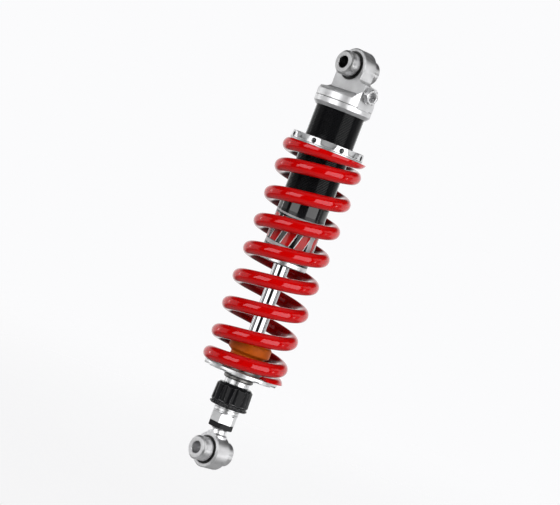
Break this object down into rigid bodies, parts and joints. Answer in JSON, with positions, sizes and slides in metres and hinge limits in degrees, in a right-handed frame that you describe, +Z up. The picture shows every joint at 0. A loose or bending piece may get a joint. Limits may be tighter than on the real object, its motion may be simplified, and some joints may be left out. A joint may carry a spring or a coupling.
{
  "type": "rear shock absorber",
  "caption": "Coil-over rear shock absorber: threaded damper tube with castellated preload collar, coil spring, chromed rod, bump stop, rebound knob and a spherical-bearing eye at each end.",
  "frame": {"origin": "centre of the upper eye, on the axis of its bolt", "axes": "+Z up along the shock's axis, +Y along both mounting bolts, +X towards the side plug of the upper cap"},
  "size_m": [0.0842, 0.0842, 0.4353],
  "materials": {
    "cap_aluminium": "machined, satin",
    "collar_aluminium": "turned, bright",
    "bearing_steel": "turned",
    "plug_steel": "satin",
    "black_anodised": "black anodised",
    "spring_red": "gloss powder coat",
    "label_film": "gloss film",
    "rod_chrome": "hard chrome, polished",
    "bump_foam": "amber polyurethane",
    "seal_rubber": "matt",
    "knob_black": "black anodised, semi-gloss",
    "nut_black": "black zinc, satin",
    "dark_steel": "phosphated",
    "inner_steel": "ground",
    "inner_aluminium": "turned",
    "bush_bronze": "bearing bronze",
    "band_plastic": "filled polymer"
  },
  "bodies": {
    "damper": {"eye_cap": "cap_aluminium", "cap_oring": "seal_rubber", "side_plug": "plug_steel", "plug_washer": "plug_steel", "damper_tube": "black_anodised", "label_sleeve": "label_film", "seal_head": "collar_aluminium", "seal_head_oring": "seal_rubber", "rod_bush": "bush_bronze", "oil_seal": "seal_rubber", "rod_wiper": "seal_rubber", "coil_spring": "spring_red", "upper_race": "inner_steel", "upper_circlip_front": "dark_steel", "upper_circlip_back": "dark_steel", "upper_seal_front": "seal_rubber", "upper_seal_back": "seal_rubber"},
    "upper_ball": {"upper_ball": "inner_steel"},
    "upper_spacers": {"upper_spacer_front": "bearing_steel", "upper_spacer_back": "bearing_steel"},
    "seat_ring": {"spring_seat_ring": "collar_aluminium"},
    "collar": {"preload_collar": "collar_aluminium"},
    "gas_piston": {"gas_piston": "inner_aluminium", "gas_piston_oring": "seal_rubber"},
    "piston_band": {"piston_band": "band_plastic"},
    "rod": {"piston_rod": "rod_chrome", "piston_nut": "inner_steel", "piston": "inner_aluminium", "compression_shims": "inner_steel", "rebound_shims": "inner_steel", "topout_washer": "inner_steel", "topout_bumper": "seal_rubber", "bump_stop": "bump_foam", "bump_washer": "dark_steel", "lower_spring_seat": "collar_aluminium", "seat_retainer": "dark_steel", "knob_stop_ring": "collar_aluminium", "rod_end": "collar_aluminium"},
    "adjuster": {"adjuster_rod": "inner_aluminium", "cross_pin": "inner_steel"},
    "knob": {"rebound_knob": "knob_black"},
    "locknut": {"locknut": "nut_black"},
    "lower_eye": {"lower_eye": "bearing_steel", "lower_race": "inner_steel", "lower_circlip_front": "dark_steel", "lower_circlip_back": "dark_steel", "lower_seal_front": "seal_rubber", "lower_seal_back": "seal_rubber"},
    "lower_ball": {"lower_ball": "inner_steel"},
    "lower_spacers": {"lower_spacer_front": "bearing_steel", "lower_spacer_back": "bearing_steel"}
  },
  "joints": [
    {"name": "upper_tilt", "type": "hinge", "parent": "damper", "child": "upper_ball", "pos_m": [0, 0, 0], "axis": [1, 0, 0], "range_deg": [-5, 5]},
    {"name": "upper_pivot", "type": "hinge", "parent": "upper_ball", "child": "upper_spacers", "pos_m": [0, 0, 0], "axis": [0, 1, 0], "continuous": true},
    {"name": "preload_travel", "type": "slide", "parent": "damper", "child": "seat_ring", "axis": [0, 0, 1], "range_m": [-0.015, 0.005], "deforming": ["coil_spring"]},
    {"name": "collar_turn", "type": "hinge", "parent": "seat_ring", "child": "collar", "pos_m": [0, 0, 0], "axis": [0, 0, 1], "range_deg": [-3600, 1200]},
    {"name": "rod_stroke", "type": "slide", "parent": "damper", "child": "piston_band", "axis": [0, 0, 1], "range_m": [0, 0.08], "stiffness_N_per_m": 130000, "deforming": ["coil_spring"]},
    {"name": "rod_spin", "type": "hinge", "parent": "piston_band", "child": "rod", "pos_m": [0, 0, -0.2], "axis": [0, 0, 1], "continuous": true},
    {"name": "gas_piston_travel", "type": "slide", "parent": "damper", "child": "gas_piston", "axis": [0, 0, 1], "range_m": [0, 0.0107]},
    {"name": "rebound_turn", "type": "hinge", "parent": "rod", "child": "knob", "pos_m": [0, 0, -0.343], "axis": [0, 0, 1], "range_deg": [-450, 450]},
    {"name": "adjuster_travel", "type": "slide", "parent": "rod", "child": "adjuster", "axis": [0, 0, 1], "range_m": [-0.00076, 0.00076]},
    {"name": "eye_turn", "type": "hinge", "parent": "rod", "child": "locknut", "pos_m": [0, 0, -0.3735], "axis": [0, 0, 1], "range_deg": [-1440, 360]},
    {"name": "length_adjust", "type": "slide", "parent": "locknut", "child": "lower_eye", "axis": [0, 0, 1], "range_m": [-0.006, 0.0015]},
    {"name": "lower_tilt", "type": "hinge", "parent": "lower_eye", "child": "lower_ball", "pos_m": [0, 0, -0.4], "axis": [1, 0, 0], "range_deg": [-5, 5]},
    {"name": "lower_pivot", "type": "hinge", "parent": "lower_ball", "child": "lower_spacers", "pos_m": [0, 0, -0.4], "axis": [0, 1, 0], "continuous": true}
  ],
  "couplings": [
    {"joint": "preload_travel", "follows": "collar_turn", "m_per_rad": 0.00023873},
    {"joint": "gas_piston_travel", "follows": "rod_stroke", "ratio": 0.13223},
    {"joint": "adjuster_travel", "follows": "rebound_turn", "m_per_rad": 0.000095493},
    {"joint": "eye_turn", "follows": "length_adjust", "rad_per_m": 4188.8}
  ]
}
